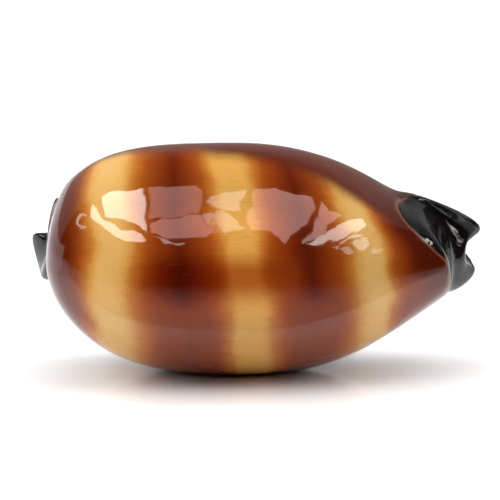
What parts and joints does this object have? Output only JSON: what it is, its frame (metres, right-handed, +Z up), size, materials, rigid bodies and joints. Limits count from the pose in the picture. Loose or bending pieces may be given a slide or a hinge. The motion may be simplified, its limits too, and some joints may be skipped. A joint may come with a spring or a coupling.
{
  "type": "cowrie shell",
  "caption": "Glossy banded cowrie shell lying on its side, hollow, with a narrow toothed aperture along its base and a notch at each end.",
  "frame": {"origin": "under the middle of the shell's bounding box, on the surface that it rests on", "axes": "+X along the shell towards its anterior end, +Z up, and -Y towards its rounded back, which faces -Y and a little down"},
  "size_m": [0.077, 0.0344, 0.0387],
  "materials": {
    "shell": "high natural gloss"
  },
  "bodies": {
    "root": {"cowrie_shell": "shell"}
  },
  "joints": []
}
